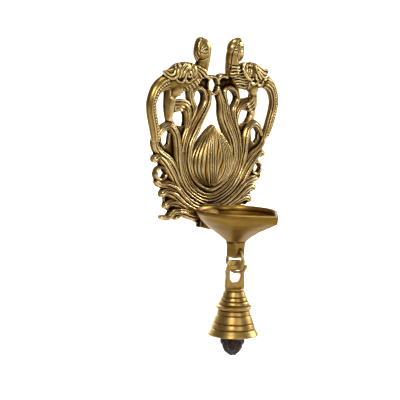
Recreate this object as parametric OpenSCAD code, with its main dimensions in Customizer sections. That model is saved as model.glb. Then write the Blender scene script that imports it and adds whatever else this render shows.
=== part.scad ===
// Wall-hanging brass oil lamp with a bell.
// An openwork plate of flame-like leaves carries two long-tailed birds and a lotus bud. A spouted
// bowl stands out from its foot, and a bell hangs from a lug under the bowl by an open wire ring.
// Frame: +Z up, front towards -Y, wall plane at Y = 0, origin in the hanging eye at the wall.

/* [Plate] */
// Width across the two tails
plate_w = 110; // [106:1:114]
// Thickness of the cast web behind the leaves
web_t = 3.2; // [2.8:0.1:3.6]
// Height of the leaves above the web
leaf_t = 1.8; // [1.4:0.1:2.2]
// Radius of the hole in the hanging eye
eye_r = 2.8; // [2.4:0.1:3.2]

/* [Lotus bud] */
// Width of the bud
bud_w = 34; // [30:1:35]
// Height of the bud from its foot to its tip
bud_h = 39; // [36:1:40]
// How far the bud stands proud of the web
bud_t = 6.5; // [4:0.5:8]

/* [Bowl] */
// Radius of the round part of the rim
bowl_r = 25; // [24:0.5:26]
// Distance from the wall to the tip of the spout
reach = 65; // [63:1:67]
// Depth of the bowl on the outside
bowl_h = 19; // [18:0.5:20]
// Wall thickness of the bowl
bowl_wall = 2.6; // [2.2:0.1:3]

/* [Lug and ring] */
// Width of the square lug under the bowl
lug_w = 8.4; // [8:0.1:8.6]
// Radius of the hole through the lug
lug_hole_r = 2.2; // [2.15:0.05:2.4]
// Radius of the ring, measured to the middle of its wire
ring_r = 7; // [6.9:0.05:7.1]
// Diameter of the ring's wire
ring_wire = 1.9; // [1.6:0.1:1.9]

/* [Bell] */
// Diameter of the mouth of the bell
bell_d = 31; // [30:0.5:32]
// Wall thickness of the bell
bell_wall = 1.6; // [1.4:0.1:1.8]
// Turn of the bell about its own axis as it hangs, in degrees
bell_turn = -20; // [-22:1:-10]

/* [Clapper] */
// Diameter of the iron clapper
clapper_d = 14.8; // [13:0.2:15]
// Diameter of the iron wire in the staple and the link
iron_wire = 1.5; // [1.3:0.1:1.5]

/* [Hidden] */
$fn = 48;
brass = [0.72, 0.55, 0.25];
old_brass = [0.60, 0.45, 0.20];
satin_brass = [0.76, 0.60, 0.32];
steel = [0.62, 0.62, 0.60];
iron = [0.16, 0.13, 0.11];

plate_t = web_t + leaf_t;
across = plate_w / 110;

// The leaves of the left half, each as a line of [x, z] points along its middle and its widths at
// the root, at the middle and at the tip. The right half mirrors them.
LEAVES = [
    // inner leaf, from under the bud up to the hanging eye
    [[[0, -67], [-9, -64], [-17, -56], [-20, -46], [-18, -36], [-13, -27], [-8, -18], [-4, -8], [-3, -3]],
     [6, 7, 4]],
    // leaf that arches over beside the eye
    [[[-2, -68], [-12, -64], [-20, -56], [-23, -45], [-20, -33], [-14, -22], [-9, -12], [-9, -5],
      [-14, -2.5], [-18, -5], [-19.5, -9.5]],
     [5, 4, 3]],
    // leaf that rises to the bird's breast
    [[[-2, -69], [-13, -66], [-22, -57], [-25, -46], [-23, -34], [-19, -24], [-17, -16], [-20, -9], [-19, 2]],
     [5, 4.5, 4]],
    // leaf that bends out to the bird's foot
    [[[-21, -36], [-21, -28], [-20, -21], [-22, -15], [-28, -12.5], [-35, -12]],
     [4, 4.5, 5]],
    // the bird's leg and the stem under it
    [[[-35, 4], [-35.5, -4], [-36, -12], [-34.5, -20], [-31, -25], [-27, -32], [-26, -42]],
     [6, 5, 4]],
    // tall leaf that curls over outwards
    [[[-2, -71], [-15, -67], [-24, -57], [-27, -47], [-28, -37], [-30, -29], [-34.5, -25.5], [-39, -27]],
     [6, 6, 4]],
    // its end, down to the tail
    [[[-34.5, -25.5], [-39.5, -27], [-42.8, -30.5], [-44.5, -34]],
     [4, 3.6, 3.6]],
    // leaf that takes the end of the tail
    [[[-3, -73], [-15, -69], [-24, -61], [-29, -52], [-35, -46], [-42, -42], [-45.5, -37], [-45.5, -31]],
     [6, 5.5, 4.5]],
    // upper side leaf with a rolled tip
    [[[-3, -75], [-16, -71], [-26, -63], [-32, -54], [-38, -48], [-43, -44.5], [-46.5, -47]],
     [6, 6, 5]],
    // middle side leaf
    [[[-3, -77], [-13, -75], [-22, -69], [-29, -64], [-36, -63], [-40, -66]],
     [6, 6, 5]],
    // lower side leaf
    [[[-3, -79], [-12, -78], [-22, -74], [-30, -70.5], [-36, -69.5]],
     [6, 6, 5]],
    // bottom leaf with its forked tip
    [[[-4, -81], [-14, -80], [-22, -78], [-29, -78], [-34, -81.5], [-39.5, -80.5]],
     [7, 6.5, 3.5]],
    [[[-20, -78.5], [-24, -80], [-28, -83]],
     [5, 4, 3]]
];
// Small scroll that closes a round hole at the edge
SCROLL_AT = [-40.5, -54];
SCROLL_R = 5.2;
SCROLL_W = 2.6;
// Solid ground between the roots of the leaves, down to the foot
GROUND = [[0, -46], [-12, -46], [-19, -38], [-24, -33], [-27, -40], [-31, -43.5], [-40, -47.5], [-37, -51],
          [-36, -57], [-39, -60], [-37.5, -66], [-36.5, -72], [-33, -77], [-20, -81], [-12, -84], [-5, -90],
          [0, -90.5]];

// Outline of the arm from the eye to the right bird's breast, and how far the eye's rim stands out
EYE_ARM = [[3, 3], [1.5, 5.2], [9, 9], [11, 5]];
eye_rim = 2.8;

bud_top = -25;
bud_low = bud_top - bud_h;

// Raised pad on the plate that the bowl's seat meets
pad_w = 16;
pad_h = 18;

// The screw that holds the bowl to the plate
screw_z = -85;
screw_r = 2;
screw_len = 8.8;
screw_head_r = 3.9;
screw_head_t = 2.2;

bowl_y = -3.5 - bowl_r;
rim_z = -76;
spout = reach + bowl_y;
spout_tip_r = 1.5;
// Bowl sections: depth below the rim, and radius and spout length as shares of those at the rim
BOWL = [[0, 1, 1], [0.19, 0.985, 0.985], [0.34, 0.88, 0.88], [0.54, 0.70, 0.72], [0.72, 0.53, 0.55],
        [0.87, 0.39, 0.37], [1, 0.26, 0.22]];

// Block behind the bowl that the screw holds, and the lug under it
seat_w = 13;
seat_d = 9;
seat_h = 12;
lug_chamfer = 2.2;
lug_y_half = 4;
lug_top = rim_z - bowl_h + 1;
lug_hole_z = -101.2;
lug_low = lug_hole_z - 4.4;

wire_r = ring_wire / 2;
ring_sag = ring_r - sqrt(ring_r * ring_r - lug_y_half * lug_y_half);
ring_z = lug_hole_z + ring_sag / 2 - ring_r;
ring_low = ring_z - ring_r;

// The round bar at the top of the bell's loop, which rests on the ring
bar_r = 2.2;
bar_z = ring_low + wire_r + 0.1 + bar_r;
loop_t = 3.7;
loop_w = 13;
loop_hole_w = 7.6;
loop_top = bar_z + 3.5;
loop_hole_low = bar_z - 10;

bell_top = -124.5;
bell_r = bell_d / 2;
// Outside of the bell: depth below its top and radius as a share of the mouth's
BELL = [[0, 0.41], [1.6, 0.43], [2.4, 0.46], [5.6, 0.55], [7, 0.58], [7.4, 0.62], [9.2, 0.65], [9.7, 0.69],
        [10.7, 0.71], [11.6, 0.68], [12, 0.63], [15.5, 0.69], [16, 0.72], [19.4, 0.79], [20, 0.82],
        [23.2, 0.89], [23.8, 0.925], [27.4, 0.99], [29.2, 1]];
bell_roof = 3;

iron_r = iron_wire / 2;
staple_r = 2.6;
staple_low = -131.5;
staple_top = bell_top - 0.8;
link_r = 2.5;
link_gap = 0.2;
link_top = staple_low - (link_r - iron_r - iron_r - link_gap);
link_low = -141;
tang_y_half = 1.35;
link_sag = link_r - sqrt(link_r * link_r - tang_y_half * tang_y_half);
tang_z = link_low - link_r + link_sag / 2;
tang_hole_r = iron_r + link_sag / 2 + 0.45;
tang_w = 6.4;

clapper_r = clapper_d / 2;
clapper_top = -146.5;
clapper_low = -167.4;

// Catmull-Rom curve through p, with n steps between points
function spline(p, n) = concat([for (i = [0:len(p) - 2]) for (k = [0:n - 1])
    let (a = p[max(i - 1, 0)], b = p[i], c = p[i + 1], d = p[min(i + 2, len(p) - 1)], t = k / n)
    0.5 * (2 * b + t * (c - a) + t * t * (2 * a - 5 * b + 4 * c - d)
           + t * t * t * (3 * b - a - 3 * c + d))],
    [p[len(p) - 1]]);

// Value at share t of a run from w[0] through w[1] to w[2]
function along(w, t) = t < 0.5 ? w[0] + (w[1] - w[0]) * 2 * t : w[1] + (w[2] - w[1]) * (2 * t - 1);

// Outline of a band of width w along curve p, with round ends
function band(p, w) = let (
    n = len(p) - 1,
    dir = [for (i = [0:n]) let (v = p[min(i + 1, n)] - p[max(i - 1, 0)]) v / norm(v)],
    half = [for (i = [0:n]) along(w, i / n) / 2])
    concat(
        [for (i = [0:n]) p[i] + half[i] * [-dir[i][1], dir[i][0]]],
        [p[n] + half[n] * (dir[n] + [-dir[n][1], dir[n][0]]) * 0.7, p[n] + half[n] * dir[n],
         p[n] + half[n] * (dir[n] - [-dir[n][1], dir[n][0]]) * 0.7],
        [for (i = [n:-1:0]) p[i] - half[i] * [-dir[i][1], dir[i][0]]],
        [p[0] - half[0] * dir[0]]);

module both_sides() {
    children();
    mirror([1, 0, 0]) children();
}

// All the leaves in plan, each narrower by trim
module leaves(trim) {
    both_sides() {
        for (leaf = LEAVES)
            polygon(band(spline(leaf[0], 3), leaf[1] - [trim, trim, trim]));
        translate(SCROLL_AT) difference() {
            circle(r = SCROLL_R - trim / 2);
            circle(r = SCROLL_R - SCROLL_W + trim / 2);
        }
    }
}

module bud_plan(grow) {
    steps = 14;
    half_w = bud_w / 2 + grow;
    low = bud_low - grow;
    side = [for (i = [0:steps]) let (t = i / steps)
        [half_w * pow(sin(180 * pow(t, 0.72)), 0.8), low + (bud_h + 2 * grow) * t]];
    polygon(concat(side, [for (i = [steps - 1:-1:1]) [-side[i][0], side[i][1]]]));
}

// Stands a plan drawn in x and z upright, from depth y0 to y1 in front of the wall
module upright(y0, y1) {
    translate([0, -y0, 0]) rotate([90, 0, 0]) linear_extrude(y1 - y0) children();
}

module fan_body() {
    upright(0, web_t) offset(delta = 0.01) {
        scale([across, 1]) leaves(0);
        both_sides() polygon(GROUND);
    }
    upright(web_t - 0.5, plate_t) offset(delta = 0.01) {
        difference() {
            scale([across, 1]) leaves(1.4);
            bud_plan(0.6);
        }
        translate([0, (rim_z + screw_z) / 2 - 1]) square([pad_w, pad_h], center = true);
    }
    rotate([90, 0, 0]) cylinder(r = eye_r + eye_rim, h = plate_t);
    both_sides() upright(0, plate_t) polygon(EYE_ARM);
}

module leaf_fan() {
    color(brass) difference() {
        fan_body();
        translate([0, 1, 0]) rotate([90, 0, 0]) cylinder(r = eye_r, h = plate_t + 2);
        translate([0, 1, screw_z]) rotate([90, 0, 0]) cylinder(r = screw_r + 0.15, h = plate_t + 2);
        translate([0, 0, screw_z]) rotate([90, 0, 0])
            cylinder(r1 = screw_head_r + 0.1, r2 = screw_r + 0.15, h = screw_head_t);
    }
}

// The bud: stacked outlines that round over towards the front
module lotus_bud() {
    color(brass) hull() {
        upright(web_t, web_t + bud_t * 0.35) bud_plan(0);
        upright(web_t, web_t + bud_t * 0.72) bud_plan(-2.2);
        upright(web_t, web_t + bud_t) bud_plan(-6);
    }
}

// A ball given as [x, y, z, r]
module ball(b) {
    translate([b[0], b[1], b[2]]) sphere(r = b[3], $fn = 16);
}

// Balls joined one to the next
module chain(balls) {
    for (i = [0:len(balls) - 2])
        hull() {
            ball(balls[i]);
            ball(balls[i + 1]);
        }
}

// The right bird, looking back over its own wing, with its tail down the edge of the plate
TAIL = [[40, -5.6, 2, 4.8], [45, -5.4, 0.2, 4.2], [49.2, -5.2, -3.8, 3.6], [51.7, -5, -10.5, 3.3],
        [51.2, -4.8, -17, 3.3], [49.2, -4.6, -24, 3.3], [47.4, -4.4, -30, 3.2], [46, -3.6, -35, 2.8]];
NECK = [[14, -5.8, 8.5, 5], [12.6, -6.4, 12, 4.6], [12.3, -7, 16, 4.5], [14.2, -7.8, 23.7, 6]];
BEAK = [[15, -7.8, 22.6, 5.6], [17.4, -7.8, 19, 3.4], [18.4, -7.8, 15, 1.2]];
// The flattened parts, as [x, 0, z, r] balls about their own middle depth
BODY = [[41, 0, 3.5, 4.6], [34, 0, 4.6, 7.4], [26, 0, 5.2, 9], [18.5, 0, 6, 7.6], [14, 0, 9.5, 5.4]];
WING = [[22, 0, 8.2, 4.8], [29, 0, 8.4, 5.6], [37, 0, 7.2, 4.2], [44.4, 0, 7.8, 1.6]];
body_depth = 5.6;
wing_depth = 8.2;
bird_flat = 0.6;

module bird() {
    color(old_brass) difference() {
        scale([across, 1, 1]) {
            chain(TAIL);
            chain(NECK);
            chain(BEAK);
            translate([0, -body_depth, 0]) scale([1, bird_flat, 1]) chain(BODY);
            translate([0, -wing_depth, 0]) scale([1, bird_flat, 1]) chain(WING);
        }
        fan_body();
        translate([0, 10, 0]) cube([300, 20, 300], center = true);
    }
}

module right_bird() {
    bird();
}

module left_bird() {
    mirror([1, 0, 0]) bird();
}

// A convex bowl form, drawn in by wall on the inside
module bowl_form(wall, low, extra) {
    hull()
        for (s = BOWL)
            if (s[0] * bowl_h <= low)
                translate([0, bowl_y, rim_z - s[0] * bowl_h + (s[0] == 0 ? extra : 0)]) {
                    cylinder(r = bowl_r * s[1] - wall, h = 0.4, center = true, $fn = 64);
                    translate([0, -(spout * s[2] - spout_tip_r - wall * 1.5), 0])
                        cylinder(r = spout_tip_r, h = 0.4, center = true, $fn = 24);
                }
}

module diya_bowl() {
    color(satin_brass) difference() {
        union() {
            bowl_form(0, bowl_h + 1, 0);
            translate([-seat_w / 2, -plate_t - seat_d, rim_z - seat_h - 2]) cube([seat_w, seat_d, seat_h]);
            translate([-lug_w / 2, bowl_y - lug_y_half, lug_low])
                cube([lug_w, 2 * lug_y_half, lug_top - lug_low]);
        }
        bowl_form(bowl_wall, bowl_h * 0.8, 1);
        translate([-50, -plate_t, rim_z - 50]) cube([100, 50, 100]);
        translate([0, -plate_t + 1, screw_z]) rotate([90, 0, 0])
            cylinder(r = screw_r, h = screw_len - plate_t + 1.5);
        translate([0, bowl_y, lug_hole_z]) rotate([90, 0, 0])
            cylinder(r = lug_hole_r, h = 2 * lug_y_half + 2, center = true);
        for (side = [-1, 1])
            translate([side * lug_w / 2, bowl_y, lug_low]) rotate([0, 45, 0])
                cube([lug_chamfer, 2 * lug_y_half + 2, lug_chamfer], center = true);
    }
}

module bowl_screw() {
    color(steel) difference() {
        union() {
            translate([0, 0, screw_z]) rotate([90, 0, 0]) cylinder(r = screw_r, h = screw_len);
            translate([0, 0, screw_z]) rotate([90, 0, 0])
                cylinder(r1 = screw_head_r, r2 = screw_r, h = screw_head_t - 0.15);
        }
        translate([0, 0, screw_z]) cube([1.1, 2.2, 20], center = true);
    }
}

// The ring's wire: a full turn in the plane x = 0, whose first end stands off to the side at the front
ring_start = -10;
ring_turn = 396;
ring_steps = 60;
ring_sides = 10;
// How far the free end stands aside, and the angles between which it comes back into the plane
aside = 2.3;
aside_from = 40;
aside_to = 78;
aside_out = 0.35;
function ring_angle(i) = ring_start - ring_turn * i / ring_steps;
function back_in(a) = min(1, max(0, -a - aside_from) / (aside_to - aside_from));
function ring_side_step(a) = aside * pow(cos(90 * back_in(a)), 0.8);
function ring_far(a) = ring_r + ring_side_step(a) * aside_out;
function ring_point(a) = [ring_side_step(a), -ring_far(a) * cos(a), ring_far(a) * sin(a)];
function ring_section(i) = let (
    a = ring_angle(i),
    here = ring_point(a),
    out = [0, -cos(a), sin(a)],
    fwd = ring_point(a - 1) - ring_point(a + 1),
    side = cross(fwd / norm(fwd), out))
    [for (k = [0:ring_sides - 1]) let (turn = 360 * k / ring_sides)
        here + wire_r * (cos(turn) * out + sin(turn) * side)];

module wire_ring() {
    rings = [for (i = [0:ring_steps]) ring_section(i)];
    pts = [for (r = rings) for (p = r) p];
    n = ring_sides;
    color(satin_brass) translate([0, bowl_y, ring_z]) polyhedron(
        points = pts,
        faces = concat(
            [[for (k = [0:n - 1]) k]],
            [for (i = [0:ring_steps - 1]) for (k = [0:n - 1])
                [i * n + k, (i + 1) * n + k, (i + 1) * n + (k + 1) % n, i * n + (k + 1) % n]],
            [[for (k = [n - 1:-1:0]) ring_steps * n + k]]));
}

module bell_place() {
    translate([0, bowl_y, 0]) rotate([0, 0, bell_turn]) children();
}

module loop_plan() {
    difference() {
        for (side = [-1, 1])
            polygon([[-side, loop_top], [side * 4.4, loop_top], [side * (loop_w / 2 - 0.6), bar_z],
                     [side * loop_w / 2, bar_z - 3], [side * loop_w / 2, bell_top + 2.5],
                     [side * (loop_w / 2 - 0.7), bell_top - 0.5], [-side, bell_top - 0.5]]);
        translate([0, loop_hole_low + loop_hole_w / 2]) circle(r = loop_hole_w / 2);
        translate([-loop_hole_w / 2, loop_hole_low + loop_hole_w / 2])
            square([loop_hole_w, bar_z - loop_hole_low - loop_hole_w / 2]);
    }
}

module bell() {
    outside = [for (p = BELL) [p[1] * bell_r, bell_top - p[0]]];
    inside = [for (i = [len(BELL) - 1:-1:3]) [BELL[i][1] * bell_r - bell_wall,
              min(bell_top - BELL[i][0] + (i == len(BELL) - 1 ? 0 : 0.3), bell_top - bell_roof)]];
    color(satin_brass) bell_place() difference() {
        union() {
            rotate_extrude($fn = 72)
                polygon(concat([[0, bell_top]], outside, inside, [[0, bell_top - bell_roof]]));
            translate([0, loop_t / 2, 0]) rotate([90, 0, 0]) linear_extrude(loop_t) loop_plan();
            translate([0, 0, bar_z]) rotate([0, 90, 0])
                cylinder(r = bar_r, h = loop_hole_w + 2, center = true);
        }
        rotate([0, 0, -bell_turn])
            for (side = [-1, 1])
                translate([side * staple_r, 0, staple_top - 6]) cylinder(r = iron_r, h = 6);
    }
}

// Iron staple let into the crown of the bell
module crown_staple() {
    color(iron) translate([0, bowl_y, 0]) {
        translate([0, 0, staple_low + staple_r]) rotate([90, 0, 0]) rotate([0, 0, 180])
            rotate_extrude(angle = 180) translate([staple_r, 0]) circle(r = iron_r, $fn = 24);
        for (side = [-1, 1])
            translate([side * staple_r, 0, staple_low + staple_r])
                cylinder(r = iron_r, h = staple_top - staple_low - staple_r, $fn = 24);
    }
}

module clapper_link() {
    color(iron) translate([0, bowl_y, 0]) rotate([0, 0, 90]) {
        translate([0, 0, link_top]) rotate([90, 0, 0])
            rotate_extrude(angle = 180) translate([link_r, 0]) circle(r = iron_r, $fn = 24);
        translate([0, 0, link_low]) rotate([90, 0, 0]) rotate([0, 0, 180])
            rotate_extrude(angle = 180) translate([link_r, 0]) circle(r = iron_r, $fn = 24);
        for (side = [-1, 1])
            translate([side * link_r, 0, link_low]) cylinder(r = iron_r, h = link_top - link_low, $fn = 24);
    }
}

module clapper() {
    tang_top = tang_z + tang_hole_r + 1.3;
    color(iron) translate([0, bowl_y, 0]) difference() {
        union() {
            rotate_extrude($fn = 9) polygon([[0, clapper_top], [4, clapper_top - 0.6], [6.4, clapper_top - 4],
                [clapper_r, clapper_top - 10], [clapper_r - 0.3, clapper_top - 16], [5.6, clapper_low + 2.4],
                [2.4, clapper_low], [0, clapper_low]]);
            translate([-tang_w / 2, -tang_y_half, clapper_top - 2])
                cube([tang_w, 2 * tang_y_half, tang_top - clapper_top + 2]);
        }
        translate([0, 0, tang_z]) rotate([90, 0, 0])
            cylinder(r = tang_hole_r, h = 2 * tang_y_half + 2, center = true);
    }
}

leaf_fan();
lotus_bud();
left_bird();
right_bird();
diya_bowl();
bowl_screw();
wire_ring();
bell();
crown_staple();
clapper_link();
clapper();
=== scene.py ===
"""Looks for a wall-hanging brass oil lamp with a bell.

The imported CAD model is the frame. The plate, bud, birds, bowl, ring, bell and clapper are made here as
detailed meshes that stand in for their plain CAD nodes; lengths inside the makers are in millimetres.
"""
import math

import bmesh
import bpy
import numpy as np
from mathutils import Matrix, Vector
from mathutils.bvhtree import BVHTree


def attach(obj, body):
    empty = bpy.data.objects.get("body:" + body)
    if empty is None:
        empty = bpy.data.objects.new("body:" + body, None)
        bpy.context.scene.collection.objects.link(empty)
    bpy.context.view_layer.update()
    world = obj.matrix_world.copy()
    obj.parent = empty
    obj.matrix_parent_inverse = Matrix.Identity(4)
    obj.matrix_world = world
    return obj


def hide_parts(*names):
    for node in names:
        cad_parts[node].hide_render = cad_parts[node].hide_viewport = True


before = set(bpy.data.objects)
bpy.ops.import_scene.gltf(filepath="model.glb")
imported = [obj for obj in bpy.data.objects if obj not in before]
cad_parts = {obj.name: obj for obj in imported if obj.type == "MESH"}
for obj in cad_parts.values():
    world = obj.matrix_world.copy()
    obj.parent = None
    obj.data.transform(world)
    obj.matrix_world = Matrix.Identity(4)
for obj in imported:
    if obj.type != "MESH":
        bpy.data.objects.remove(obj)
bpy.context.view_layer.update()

MM = 0.001
# Angle kept off the poles of a ball, where its rows would close to a point
POLE = 0.06
# A smoothing step draws each point this share of the way to its neighbours, then part of that back
PULL, GIVE_BACK = 0.5, 0.53
# Rounds of averaging that find fine and broad hollows, with the weight of each
HOLLOWS = {6: 2.2, 60: 0.55}
# Distance from the wall below which metal starts to count as low and takes painted shade, and how fast
LOW_FROM, LOW_SPAN = 4.4, 2.2


# ---------------------------------------------------------------- mesh tools
class Bag:
    """Points and faces of several closed shells, gathered into one mesh."""

    def __init__(self):
        self.points = []
        self.faces = []
        self.count = 0

    def add(self, points, faces):
        points = np.asarray(points, float)
        self.points.append(points)
        self.faces += [tuple(i + self.count for i in f) for f in faces]
        self.count += len(points)

    def mesh(self, name, unit=1.0):
        data = bpy.data.meshes.new(name)
        data.from_pydata((np.concatenate(self.points) * unit).tolist(), [], self.faces)
        data.update()
        return data


def spline(points, steps):
    """Catmull-Rom curve through the points, with that many steps between two of them."""
    p = np.asarray(points, float)
    padded = np.vstack([2 * p[0] - p[1], p, 2 * p[-1] - p[-2]])
    out = []
    for i in range(len(p) - 1):
        a, b, c, d = padded[i:i + 4]
        for k in range(steps):
            t = k / steps
            out.append(0.5 * (2 * b + t * (c - a) + t * t * (2 * a - 5 * b + 4 * c - d)
                              + t ** 3 * (3 * b - a - 3 * c + d)))
    out.append(p[-1])
    return np.array(out)


def even(path, step):
    """The path again, with its points a given distance apart."""
    lengths = np.concatenate([[0], np.cumsum(np.linalg.norm(np.diff(path, axis=0), axis=1))])
    count = max(3, int(lengths[-1] / step) + 1)
    at = np.linspace(0, lengths[-1], count)
    return np.column_stack([np.interp(at, lengths, path[:, k]) for k in range(path.shape[1])]), at


def spread(values, count):
    """Values given at even shares of a length, read off at count points."""
    return np.interp(np.linspace(0, 1, count), np.linspace(0, 1, len(values)), values)


def loft(bag, rings):
    """Closes a run of rings with the same number of points into a shell."""
    n = len(rings[0])
    faces = []
    for i in range(len(rings) - 1):
        for k in range(n):
            a, b = i * n + k, i * n + (k + 1) % n
            faces.append((a, b, b + n, a + n))
    faces.append(tuple(range(n - 1, -1, -1)))
    last = (len(rings) - 1) * n
    faces.append(tuple(last + k for k in range(n)))
    bag.add(np.concatenate(rings), faces)


def round_ends(at, half):
    """Shares that draw the last half width of a run in to a round end."""
    end = np.minimum(at, at[-1] - at)
    reach = np.clip(end / np.maximum(half, 1e-6), 0, 1)
    return np.sqrt(np.clip(1 - (1 - reach) ** 2, 0.02, 1))


def directions(path):
    """Unit tangents along a path."""
    tangent = np.gradient(path, axis=0)
    return tangent / np.linalg.norm(tangent, axis=1)[:, None]


def tube(bag, points, radii, sides=14, step=0.6, smooth=6, flat=1.0):
    """A round bar along points, with radii spread over its length. flat thins it along Y."""
    path, at = even(spline(points, smooth) if smooth else np.asarray(points, float), step)
    r = spread(radii, len(path))
    r = r * round_ends(at, r)
    tangent = directions(path)
    normal = np.cross(tangent[0], [0, 1, 0])
    if np.linalg.norm(normal) < 0.1:
        normal = np.cross(tangent[0], [1, 0, 0])
    rings = []
    turn = np.linspace(0, 2 * math.pi, sides, endpoint=False)
    for i in range(len(path)):
        normal = normal - tangent[i] * normal.dot(tangent[i])
        normal /= np.linalg.norm(normal)
        other = np.cross(tangent[i], normal)
        ring = np.outer(np.cos(turn), normal) + np.outer(np.sin(turn), other)
        ring[:, 1] *= flat
        rings.append(path[i] + r[i] * ring)
    loft(bag, rings)


def ball(bag, centre, radii, rows=14, sides=20):
    """An ellipsoid."""
    w = np.linspace(0, 2 * math.pi, sides, endpoint=False)
    rings = []
    for v in np.linspace(POLE, math.pi - POLE, rows):
        ring = np.column_stack([np.sin(v) * np.cos(w), np.sin(v) * np.sin(w), np.full(sides, np.cos(v))])
        rings.append(ring * np.asarray(radii) + np.asarray(centre))
    loft(bag, rings)


def placed(name, data):
    """A new object in the scene."""
    made = bpy.data.objects.new(name, data)
    bpy.context.scene.collection.objects.link(made)
    return made


def remeshed(bag, voxel, smooth=2, name="piece"):
    """The shells of a bag fused into one skin of even quads, in millimetres."""
    raw = bag.mesh(name + "_raw")
    holder = placed(name + "_raw", raw)
    mod = holder.modifiers.new("fuse", "REMESH")
    mod.mode = "VOXEL"
    mod.voxel_size = voxel
    mod.adaptivity = 0.0
    graph = bpy.context.evaluated_depsgraph_get()
    fused = bpy.data.meshes.new_from_object(holder.evaluated_get(graph))
    bpy.data.objects.remove(holder)
    bpy.data.meshes.remove(raw)
    relax(fused, smooth)
    return fused


def points_of(mesh):
    co = np.empty(len(mesh.vertices) * 3)
    mesh.vertices.foreach_get("co", co)
    return co.reshape(-1, 3)


def put_points(mesh, co):
    mesh.vertices.foreach_set("co", np.ascontiguousarray(co, dtype=np.float32).ravel())
    mesh.update()


def normals_of(mesh):
    nor = np.empty(len(mesh.vertices) * 3)
    mesh.vertices.foreach_get("normal", nor)
    return nor.reshape(-1, 3)


def neighbour_mean(mesh):
    """A function that averages a per-point array over each point's neighbours."""
    edges = np.empty(len(mesh.edges) * 2, np.int64)
    mesh.edges.foreach_get("vertices", edges)
    a, b = edges[0::2], edges[1::2]
    n = len(mesh.vertices)
    degree = np.maximum(np.bincount(a, minlength=n) + np.bincount(b, minlength=n), 1)

    def mean(values):
        out = np.empty_like(values)
        for k in range(values.shape[1]):
            v = values[:, k]
            out[:, k] = (np.bincount(a, v[b], n) + np.bincount(b, v[a], n)) / degree
        return out

    return mean


def relax(mesh, times):
    """Smooths the skin without shrinking it much."""
    mean = neighbour_mean(mesh)
    co = points_of(mesh)
    for _ in range(times):
        co = co + PULL * (mean(co) - co)
        co = co - GIVE_BACK * PULL * (mean(co) - co)
    put_points(mesh, co)


def store_cavity(mesh, side_shade=0.0, deep=0.0):
    """Keeps, for each point, how deep it lies in a groove (positive) or stands on a ridge (negative).

    The second argument paints shade on what faces sideways, and the third paints shade on what lies low near
    the wall.
    Neither touches the flat back.
    """
    mean = neighbour_mean(mesh)
    co = points_of(mesh)
    nor = normals_of(mesh)
    soft = co.copy()
    depth = np.zeros(len(co))
    for i in range(1, max(HOLLOWS) + 1):
        soft = mean(soft)
        if i in HOLLOWS:
            depth += np.einsum("ij,ij->i", soft - co, nor) * HOLLOWS[i]
    # painted shade: metal that faces sideways is darkened as if in shadow
    depth += side_shade * np.clip(1 - np.abs(nor[:, 1]) / 0.5, 0, 1)
    # painted shade: metal lying low near the wall is darkened as if in shadow
    depth += deep * np.clip((LOW_FROM + co[:, 1]) / LOW_SPAN, 0, 1) * np.clip(1 - 2 * nor[:, 1], 0, 1)
    layer = mesh.attributes.new("cavity", "FLOAT", "POINT")
    layer.data.foreach_set("value", depth.astype(np.float32))


def engrave(mesh, lines, width, depth):
    """Cuts fine lines, given as [x, z] points, into the front of a skin."""
    co = points_of(mesh)
    nor = normals_of(mesh)
    sink = np.zeros(len(co))
    for points in lines:
        path = even(spline(points, 6), 0.2)[0]
        low, high = path.min(axis=0) - 3 * width, path.max(axis=0) + 3 * width
        near = np.flatnonzero((nor[:, 1] < -0.1) & (co[:, 0] > low[0]) & (co[:, 0] < high[0])
                              & (co[:, 2] > low[1]) & (co[:, 2] < high[1]))
        if len(near):
            apart = co[near][:, None, ::2] - path[None]
            gap = np.min(np.hypot(apart[..., 0], apart[..., 1]), axis=1)
            sink[near] = np.maximum(sink[near], depth * np.exp(-(gap / width) ** 2))
    put_points(mesh, co - nor * sink[:, None])


def piece(name, mesh, body, material, replaces):
    """Puts a finished mesh, still in millimetres, into the scene on its body."""
    mesh.transform(Matrix.Scale(MM, 4))
    mesh.name = name
    mesh.polygons.foreach_set("use_smooth", [True] * len(mesh.polygons))
    mesh.materials.clear()
    mesh.materials.append(material)
    made = placed(name, mesh)
    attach(made, body)
    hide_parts(*replaces)
    return made


# ---------------------------------------------------------------- materials
def shader(name, metallic=1.0):
    mat = bpy.data.materials.new(name)
    mat.use_nodes = True
    tree = mat.node_tree
    bsdf = tree.nodes["Principled BSDF"]
    bsdf.inputs["Metallic"].default_value = metallic
    return mat, tree, bsdf


def paint(tree, bsdf, colour, rough):
    tree.links.new(colour, bsdf.inputs["Base Color"])
    tree.links.new(rough, bsdf.inputs["Roughness"])


def node(tree, kind, **values):
    made = tree.nodes.new(kind)
    for key, value in values.items():
        if key in made.inputs:
            made.inputs[key].default_value = value
        else:
            setattr(made, key, value)
    return made


def ramp(tree, source, stops):
    made = tree.nodes.new("ShaderNodeValToRGB")
    bar = made.color_ramp
    while len(bar.elements) < len(stops):
        bar.elements.new(0.5)
    for element, (place, colour) in zip(bar.elements, stops):
        element.position = place
        element.color = (*colour, 1) if len(colour) == 3 else colour
    tree.links.new(source, made.inputs[0])
    return made.outputs[0]


def blend(tree, share, one, two, how="MIX"):
    """Mixes two colours, each a socket or a plain colour, by a share that is a socket or a number."""
    made = tree.nodes.new("ShaderNodeMix")
    made.data_type = "RGBA"
    made.blend_type = how
    for socket, value in ((made.inputs[0], share), (made.inputs[6], one), (made.inputs[7], two)):
        if hasattr(value, "default_value"):
            tree.links.new(value, socket)
        elif isinstance(value, (int, float)):
            socket.default_value = value
        else:
            socket.default_value = (*value, 1)
    return made.outputs[2]


def scaled(tree, source, low, high, to_low, to_high):
    ends = {"From Min": low, "From Max": high, "To Min": to_low, "To Max": to_high}
    made = node(tree, "ShaderNodeMapRange", **ends)
    tree.links.new(source, made.inputs["Value"])
    return made.outputs[0]


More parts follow.
